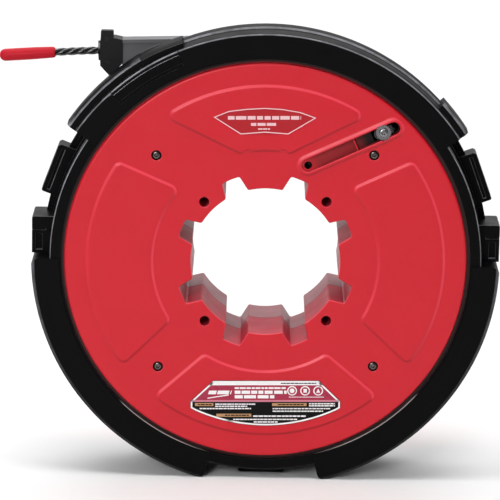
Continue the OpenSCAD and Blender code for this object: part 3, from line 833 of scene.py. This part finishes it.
class DrumHalf:
    """One half of the drum: a sheet of heights over its disc, with the hub's wall and the rim drawn down."""

    def __init__(self, front):
        self.front = front
        self.out = FACE if front else -BACK_FACE
        self.pads = [Pad(p, PAD_IN_R if front else REAR_PAD_IN_R) for p in PADS]
        self.points, self.edges = [], []

    def loop(self, points):
        """Add a closed line for the triangles to follow."""
        start, n = len(self.points), len(points)
        self.points += [Vector(p) for p in points]
        self.edges += [(start + i, start + (i + 1) % n) for i in range(n)]
        return list(range(start, start + n))

    def line(self, a, b):
        """Add a straight line for the triangles to follow."""
        self.points += [Vector(a), Vector(b)]
        self.edges.append((len(self.points) - 2, len(self.points) - 1))

    def slot_floor(self, s, across):
        """Height of the slot's floor: a hole, a slope down to a rib, and the anchor's seat."""
        if math.hypot(s, across) < SLOT_HOLE_R - WALL / 2:
            return -SLOT_HOLE_DEPTH
        if abs(s - ANCHOR_S) < SEAT_HALF:
            return -ANCHOR_SEAT
        if s < RIB_S:
            return -NEAR_DEPTH - NEAR_FALL * max(0.0, s) / RIB_S
        if s < RIB_S + RIB_T:
            return -RIB_DEPTH
        return -FAR_DEPTH - FAR_FALL * (s - RIB_S - RIB_T) / (SLOT_LEN - RIB_S)

    def top(self, x, y):
        """Height of the sheet's outer surface above the face."""
        height = max(bevel_height(pad.inside((x, y))) for pad in self.pads)
        if not self.front:
            r = math.hypot(x, y)
            collar = min(1.0, max(0.0, (COLLAR_R - r) / COLLAR_SLOPE)) * COLLAR_H
            return max(height, collar + (COLLAR_LIP_H if r < COLLAR_LIP_R else 0.0))
        for corner in CORNERS:
            for bore_r, at_r, depth in COUNTERBORES:
                cx, cy = polar(at_r, corner)
                away = math.hypot(x - cx, y - cy)
                if away < bore_r - WALL / 2:
                    return -depth
                if away < bore_r + WALL / 2:
                    return -COUNTERBORE_EDGE
        side = slot_side(x, y)
        s, across = slot_place(x, y)
        if side <= -WALL / 2:
            return self.slot_floor(s, across)
        if math.hypot(s - ANCHOR_S, across) < WASHER_R - WALL / 2:
            return -WASHER_DEPTH
        if side >= SLOT_RIM_W:
            return height
        if side < 0.3:
            return max(height, 0.75)
        return max(height, bevel_height((SLOT_RIM_W - side) * 0.85) if side > 0.6 else 1.0)

    def bottom(self, x, y, top):
        """Height of the sheet's inner surface, which is at the seam inside the hub's wall."""
        if math.hypot(x, y) < HUB_WALL_R + 0.15:
            return (DRUM_SEAM - FACE) if self.front else (BACK_FACE - DRUM_SEAM)
        return min(0.0, top) - SHEET_T

    def contours(self):
        """The lines along which the sheet's heights step or bend."""
        self.hub_ids = self.loop(hub_outline(HUB_EDGE))
        self.rim_ids = self.loop(circle(SHEET_R, 240))
        self.loop(circle(HUB_WALL_R, 120))
        self.loop(circle(HUB_WALL_R + 0.3, 120))
        self.loop(circle(SHEET_R - 1.0, 240))
        for pad in self.pads:
            for inset in (-0.6, *(inset for inset, _ in BEVEL), 3.6):
                self.loop(pad.outline(inset))
        if not self.front:
            for r in COLLAR_LINES:
                self.loop(circle(r, 160))
            return
        for corner in CORNERS:
            for bore_r, at_r, _ in COUNTERBORES:
                for grow in (0.5, 0.0, -WALL):
                    self.loop(circle(bore_r + grow, 28, polar(at_r, corner)))
        for grow in SLOT_RIM_LINES:
            self.loop(slot_outline(grow))
        for r in (WASHER_R, WASHER_R - WALL):
            self.loop([in_slot(ANCHOR_S + x, y) for x, y in circle(r, 36)])
        for r in (SLOT_HOLE_R, SLOT_HOLE_R - WALL):
            self.loop([in_slot(x, y) for x, y in circle(r, 24)])
        inner = SLOT_HALF - WALL
        for s in SLOT_FLOOR_LINES:
            self.line(in_slot(s, -inner), in_slot(s, inner))
        near, far = ANCHOR_S - HOLE_GAP, ANCHOR_S + HOLE_GAP
        for hole in ([(HOLE_FROM, -LEDGE), (near, -LEDGE), (near, LEDGE), (HOLE_FROM, LEDGE)],
                     [(far, LEDGE), (far, -LEDGE)] + arc(LEDGE, -90, 90, 12, (SLOT_LEN, 0))):
            self.loop([in_slot(s, across) for s, across in hole])

    def open_at(self, x, y):
        """True where there is no sheet: beyond the rim, in the splined opening and in the slot's holes."""
        r = math.hypot(x, y)
        if r > SHEET_R + 0.01 or r < TOOTH_TIP_R + 0.55:
            return True
        if r < NOTCH_R + HUB_EDGE:
            a = (math.degrees(math.atan2(y, x)) + TOOTH_TURN / 2) % TOOTH_TURN - TOOTH_TURN / 2
            share = (r - TOOTH_TIP_R) / (NOTCH_R - TOOTH_TIP_R)
            if abs(a) > TIP_HALF + (ROOT_HALF - TIP_HALF) * share - math.degrees(HUB_EDGE / r):
                return True
        if not self.front:
            return False
        s, across = slot_place(x, y)
        if HOLE_FROM < s < ANCHOR_S - HOLE_GAP and abs(across) < LEDGE:
            return True
        return s > ANCHOR_S + HOLE_GAP and math.hypot(max(0.0, s - SLOT_LEN), across) < LEDGE

    def build(self, name, material):
        """The half as one closed piece: the sheet's two surfaces and the walls between their borders."""
        self.contours()
        flat, _, triangles, sources, _, _ = delaunay_2d_cdt(self.points, self.edges, [], 0, 1e-4)
        place_of = {i: index for index, ids in enumerate(sources) for i in ids}
        kept = [tuple(tri) for tri in triangles
                if not self.open_at(sum(flat[i].x for i in tri) / 3, sum(flat[i].y for i in tri) / 3)]
        used = sorted({i for tri in kept for i in tri})
        number = {old: new for new, old in enumerate(used)}
        n = len(used)
        tops = [self.top(flat[i].x, flat[i].y) for i in used]
        heights = tops + [self.bottom(flat[i].x, flat[i].y, t) for i, t in zip(used, tops)]
        plan = [(flat[i].x, flat[i].y) for i in used] * 2
        faces = [tuple(number[i] for i in tri) for tri in kept]
        faces += [tuple(n + i for i in reversed(tri)) for tri in faces]
        directed = {(a, b) for tri in kept for a, b in zip(tri, tri[1:] + tri[:1])}
        border = [(number[a], number[b]) for a, b in directed if (b, a) not in directed]
        chains = {}

        def extend(source, point, height):
            chains.setdefault(number[place_of[source]], []).append(len(plan))
            plan.append(point)
            heights.append(height)

        depth = (FACE - DRUM_SEAM) if self.front else (DRUM_SEAM - HUB_BACK)
        rise = 0.0 if self.front else COLLAR_H + COLLAR_LIP_H
        for grow, drop in ((0.3, -0.1), (0.12, -0.3), (0.0, -0.7), (0.0, 0.5 - depth), (0.5, -depth)):
            for source, point in zip(self.hub_ids, hub_outline(grow)):
                extend(source, point, rise + drop)
        lip = FRONT_LIP_DROP if self.front else REAR_LIP_DROP
        rim_steps = [(SHEET_R + EDGE_R * math.sin(t), EDGE_R * math.cos(t) - EDGE_R) for t in quarter(6)[1:]]
        rim_steps += [(DISC_R, -lip), (RIM_LIP_R - RIM_LIP_CUT, -lip), (RIM_LIP_R, -lip - RIM_LIP_CUT),
                      (RIM_LIP_R, -lip - RIM_LIP_T), (SHEET_R, -lip - RIM_LIP_T)]
        for source, a in zip(self.rim_ids, turns(len(self.rim_ids))):
            for r, drop in rim_steps:
                extend(source, (r * math.cos(a), r * math.sin(a)), drop)
        for a, b in border:
            left = [a] + chains.get(a, []) + [a + n]
            right = [b] + chains.get(b, []) + [b + n]
            if len(left) != len(right):
                left, right = [a, a + n], [b, b + n]
            faces += [(right[i], left[i], left[i + 1], right[i + 1]) for i in range(len(left) - 1)]
        sign = 1 if self.front else -1
        points = [on_drum(x, y, sign * (self.out + h)) for (x, y), h in zip(plan, heights)]
        return mesh_object(name, points, faces, material, "drum", 32, weighted=True)


front_half = DrumHalf(True).build("drum_front_shell", RED)
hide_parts("drum_front_half")
rear_half = DrumHalf(False).build("drum_rear_shell", REAR_RED)
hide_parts("drum_rear_half")


# ---- CAD nodes that stay: finish and softened edges ----

def soften(name):
    """Round a node's sharp edges a little, so that they catch the light."""
    obj = nodes[name]
    weld = obj.modifiers.new("weld", "WELD")
    weld.merge_threshold = 0.000002
    bevel = obj.modifiers.new("edge_round", "BEVEL")
    bevel.width = EDGE_ROUND * MM
    bevel.segments = 2
    bevel.limit_method = "ANGLE"
    bevel.angle_limit = math.radians(32.0)
    bevel.harden_normals = True


EDGE_ROUND = 0.45
SIDE_PARTS = ("saddle_cover", "side_lug_left", "side_lug_right", "side_catch_left", "side_catch_right")
FINISHES = (
    (BLACK, (*SIDE_PARTS, "ring_rear_shell", "bottom_tab", "nozzle_bushing")),
    (RING, ("ring_front_shell",)),
    (GUARD, ("guard_top", "guard_lower_left", "guard_lower_right")),
    (NOZZLE, ("nozzle_front_half", "nozzle_rear_half")),
    (PLATE, ("nozzle_end_plate",)),
    (DARK_STEEL, ("hub_screws", "ring_screws")),
    (FINE_SCREW, ("nozzle_screws",)),
    (CLAMP_STEEL, ("anchor_clamp",)),
    (STEEL, ("anchor_washer",)),
    (SPEC, ("spec_label",)),
    (STICKER, ("warning_label",)),
)
for material, names in FINISHES:
    for name in names:
        finish(nodes[name], material)
for name in (*SIDE_PARTS, "ring_front_shell", "nozzle_front_half", "nozzle_end_plate", "guard_top"):
    soften(name)


# ---- Screws that show ----

SHANK_R = 1.98
SCREW_SIDES = 48
LOBES = 6
LOBE_DEPTH = 0.17
# A screw's head from its recess's floor outward: share of its radius, mm below its top, and whether lobed
HEAD = ((0.05, 1.5, 0), (0.36, 1.5, 1), (0.40, 1.3, 1), (0.44, 0.12, 1), (0.48, 0.0, 1),
        (0.62, 0.02, 0), (0.78, 0.14, 0), (0.9, 0.36, 0), (0.98, 0.7, 0), (1.0, 1.0, 0))


def star_screws(name, places, top, head_r, head_t, length, material):
    """Button-headed screws with six-lobed recesses, at places in the drum's plane, heads up to f = top."""
    steps = [(head_r * share, drop, lobed) for share, drop, lobed in HEAD]
    steps += [(head_r, head_t, 0), (SHANK_R, head_t, 0), (SHANK_R, length - 1.0, 0), (0.6, length, 0)]
    points, faces = [], []
    for x, up in places:
        rings = []
        for r, drop, lobed in steps:
            reaches = [(a, r * (1 + LOBE_DEPTH * math.cos(LOBES * a) * lobed)) for a in turns(SCREW_SIDES)]
            rings.append([on_drum(x + reach * math.cos(a), up + reach * math.sin(a), top - drop)
                          for a, reach in reaches])
        faces += rings_to_faces(rings, start=len(points))
        points += flat_list(rings)
    return mesh_object(name, points, faces, material, "drum", 32)


drum_screw_heads = star_screws("drum_star_screws", [polar(DRUM_SCREW_R, a) for a in CORNERS], FACE - 1.0,
                               head_r=3.1, head_t=2.5, length=18.0, material=DARK_STEEL)
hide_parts("drum_screws")
anchor_head = star_screws("anchor_star_screw", [in_slot(ANCHOR_S, 0.0)], FACE + 1.1,
                          head_r=3.4, head_t=2.3, length=11.5, material=STEEL)
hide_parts("anchor_screw")


# ---- Tape inside the reel ----

LEAD_LENGTH = 82.0
lead = twisted(-LEAD_LENGTH, 0.0, "tape_twisted_lead", "tape_end")
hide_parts("tape_lead")

COIL_IN_R = 130.1
COIL_OUT_R = 154.5
COIL_BACK = -22.95
COIL_FRONT = 31.95
COIL_TURNS = 34
COIL_STEPS = 60
COIL_SIDES = 10
COIL_WANDER = 0.12


def wound_coil():
    """The stored tape: turns laid side by side in layers, each one a tape wide."""
    per_layer = int((COIL_FRONT - COIL_BACK) / TAPE_D)
    layers = math.ceil(COIL_TURNS / per_layer)
    pitch = (COIL_FRONT - COIL_BACK - TAPE_D) / (per_layer - 1)
    gap = (COIL_OUT_R - COIL_IN_R - TAPE_D) / (layers - 1)
    half = TAPE_D / 2
    shuffle = random.Random(7)
    rings = []
    for turn in range(COIL_TURNS):
        layer, place_in = divmod(turn, per_layer)
        f0 = COIL_BACK + half + pitch * (place_in if layer % 2 == 0 else per_layer - 1 - place_in)
        r0 = COIL_OUT_R - half - gap * layer
        wander = shuffle.uniform(-COIL_WANDER, COIL_WANDER)
        for step in range(COIL_STEPS):
            share = step / COIL_STEPS
            f = f0 + wander * math.sin(2 * math.pi * share)
            rings.append([on_drum(*polar(r0 + half * math.cos(b), 360 * share), f + half * math.sin(b))
                          for b in turns(COIL_SIDES)])
    wrap = COIL_STEPS * COIL_SIDES
    one_turn = rings_to_faces([[0] * COIL_SIDES] * (COIL_STEPS + 1), caps=False)
    faces = [tuple(turn * wrap + i % wrap for i in face) for turn in range(COIL_TURNS) for face in one_turn]
    return mesh_object("tape_wound_coil", flat_list(rings), faces, STRAND, "drum", 60)


coil = wound_coil()
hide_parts("tape_coil")


# ---- Print on the drum: generic bars and signs, no lettering ----

PRINT_F = FACE + PAD_H + 0.3
PRINT_T = 0.04


def printed(name, shapes, material, layer=1, base=PRINT_F):
    """Flat printed shapes, each a loop of corners in the drum's plane, as one thin piece on the label."""
    points, faces = [], []
    for shape in shapes:
        start, n = len(points), len(shape)
        points += [on_drum(x, up, base + f) for f in (0.0, PRINT_T * layer) for x, up in shape]
        faces += [tuple(start + n + k for k in range(n)), tuple(start + k for k in reversed(range(n)))]
        faces += [(start + k, start + (k + 1) % n, start + n + (k + 1) % n, start + n + k) for k in range(n)]
    return mesh_object(name, points, faces, material, "drum", 30)


def strip(outline, width, inset):
    """A closed line of the given width, inset from an outline, as four-cornered shapes."""
    n = len(outline)
    loops = []
    for away in (inset, inset + width):
        loop = []
        for k in range(n):
            p, q, r = (Vector(outline[(k + i) % n]) for i in (-1, 0, 1))
            a, b = (q - p).normalized(), (r - q).normalized()
            across = Vector((-(a + b).y, (a + b).x)).normalized()
            loop.append(tuple(q + across * away / max(0.5, across.dot(Vector((-a.y, a.x))))))
        loops.append(loop)
    inner, outer = loops
    return [[inner[k], inner[(k + 1) % n], outer[(k + 1) % n], outer[k]] for k in range(n)]


def dashes(rows):
    """Rows of printed words stood in for by short bars of random lengths."""
    return flat_list([dash_row(*row) for row in rows])


def dash_row(x, top, right, bottom, fill, lean=0.0):
    """One row's bars, from x to the right."""
    height = (top - bottom) * fill
    middle = (top + bottom) / 2
    shapes = []
    while x < right:
        end = min(right, x + height * chance.uniform(1.4, 3.6))
        low, high = middle - height / 2, middle + height / 2
        shapes.append([(x, low), (end, low), (end + lean, high), (x + lean, high)])
        x = end + height * chance.uniform(0.3, 0.5)
    return shapes


def box_shape(left, top, right, bottom):
    return [(left, bottom), (right, bottom), (right, top), (left, top)]


LABEL_R = 128.9
LABEL_CORNERS = [(-57.6, -109.5), (-40.0, -93.0), (41.0, -93.0), (57.6, -109.5), (57.6, -115.0)]
LABEL_FOOT_X = 54.0
low_right = math.degrees(math.atan2(-math.sqrt(LABEL_R ** 2 - LABEL_FOOT_X ** 2), LABEL_FOOT_X))
label_outline = (LABEL_CORNERS
                 + [polar(LABEL_R, low_right - (low_right * 2 + 180) * k / 24) for k in range(25)]
                 + [(-57.6, -115.0)])
# Rows of bars: left, top, right and bottom of the row, the bars' share of its height, and their lean
WHITE_ROWS = (
    (-23.5, -98.1, 15.6, -99.8, 0.8), (-23.5, -100.9, 16.4, -103.6, 0.95), (-23.5, -104.5, 6.9, -107.2, 0.95),
    (-44.0, -100.6, -26.5, -104.2, 0.8, 1.0), (-38.4, -111.1, -7.7, -112.3, 0.8),
    (-38.5, -112.8, -13.9, -114.0, 0.8), (-50.4, -114.6, -11.0, -115.8, 0.8),
    (33.5, -110.8, 53.4, -112.0, 0.8), (33.5, -112.4, 53.4, -113.6, 0.8),
    (5.6, -114.7, 50.0, -115.8, 0.8), (5.6, -116.7, 44.3, -117.9, 0.8),
    (-9.4, -120.5, 31.0, -121.9, 0.8), (-24.7, -123.2, 24.4, -124.4, 0.8), (-8.9, -125.2, 9.4, -126.5, 0.8),
)
SIGN_ROW = (17.9, -105.6, 44.8, -106.6, 0.55)
DARK_ROW = (11.9, -94.5, 39.0, -95.9, 0.6)
ORANGE_BOXES = ((-54.0, -110.9, -39.9, -113.2), (5.2, -110.9, 31.6, -113.2), (-37.6, -119.3, -10.8, -121.7))
ORANGE_ROWS = ((-51.8, -111.4, -41.2, -112.7, 0.7), (9.6, -111.4, 29.4, -112.7, 0.7),
               (-31.0, -119.8, -12.6, -121.2, 0.7))
SIGNS = ((20.5, -101.1), (30.5, -101.1), (40.5, -101.1))
SIGN_R = 3.75
SPEC_OUTLINE = [(-38.3, 112.1), (-27.4, 116.5), (-13.1, 118.2), (-0.3, 118.8), (12.5, 118.0), (26.1, 115.7),
                (37.7, 111.5), (17.3, 99.3), (-0.3, 100.7), (-18.5, 99.3)]
SPEC_ROWS = ((-28.2, 113.8, 26.9, 109.4, 0.62), (-10.8, 108.4, 8.8, 104.8, 0.6),
             (-5.5, 103.8, 3.5, 102.3, 0.7))

chance = random.Random(11)
white = strip(label_outline, -1.25, -0.35)
white.append([(-41.2, -94.62), (-43.2, -96.7), (44.2, -96.7), (42.2, -94.62)])
white += dashes(WHITE_ROWS)
white.append([(-44.4, -106.6), (-28.2, -103.9), (-28.2, -104.8), (-44.4, -107.4)])
for at in SIGNS:
    white += strip(circle(SIGN_R, 28, at), 0.85, 0.0)
white += dashes([SIGN_ROW])
printed("label_white", white, WHITE_INK, 2)
signs = [circle(2.0, 6, SIGNS[0]), box_shape(29.2, -99.6, 31.8, -102.6),
         [(39.0, -102.6), (42.0, -102.6), (40.5, -99.3)]]
printed("label_signs", signs, WHITE_INK, 2)
band = [(-44.0, -96.7), (-56.4, -109.2), (56.4, -109.2), (45.0, -96.7)]
printed("label_band", [band], BAND)
printed("label_dark_marks", dashes([DARK_ROW]), STICKER, 3)
band_line = [(-56.2, -108.5), (-56.6, -109.9), (56.6, -109.9), (56.2, -108.5)]
printed("label_band_line", [band_line], BAND_LINE, 2)
printed("label_orange", [box_shape(*box) for box in ORANGE_BOXES], ORANGE_INK, 2)
printed("label_orange_marks", dashes(ORANGE_ROWS), STICKER, 3)
printed("spec_marks", strip(SPEC_OUTLINE, 0.75, -0.35) + dashes(SPEC_ROWS), PINK_INK, 2)

# Painted shade: a dark ring under each screw's head, on the counterbore's floor, standing in for the shade
# round the head
SCREW_SEAT_R = 3.86
seat_shades = [strip(circle(SCREW_SEAT_R, 32, polar(DRUM_SCREW_R, corner)), 0.9, 0.0) for corner in CORNERS]
printed("painted_screw_seat_shade", flat_list(seat_shades), SEAT_SHADE, 40, FACE - DRUM_SEAT)


# ---- The top guard's ridge, where it runs on in front of the nozzle's root ----

RIDGE_FROM = 111.5
RIDGE_TURN = 11.2
RIDGE_STEPS = 18


def ridge_ring(a):
    """The ridge's section at an angle: its top climbs a little as it runs to the left."""
    r = 181.0 + (a - RIDGE_FROM) / 11 * 1.5
    outline = [(176.5, 19.0), (r - 1, 19.0), (r, 19.8), (r, 38.6), (r - 2.2, 42.6), (174.2, 42.6)]
    return [place(*polar(out, a), f) for out, f in outline]


ridge_rings = [ridge_ring(RIDGE_FROM + RIDGE_TURN * k / RIDGE_STEPS) for k in range(RIDGE_STEPS + 1)]
mesh_object("guard_ridge_run", flat_list(ridge_rings), rings_to_faces(ridge_rings), GUARD,
            "housing", 30, weighted=True)
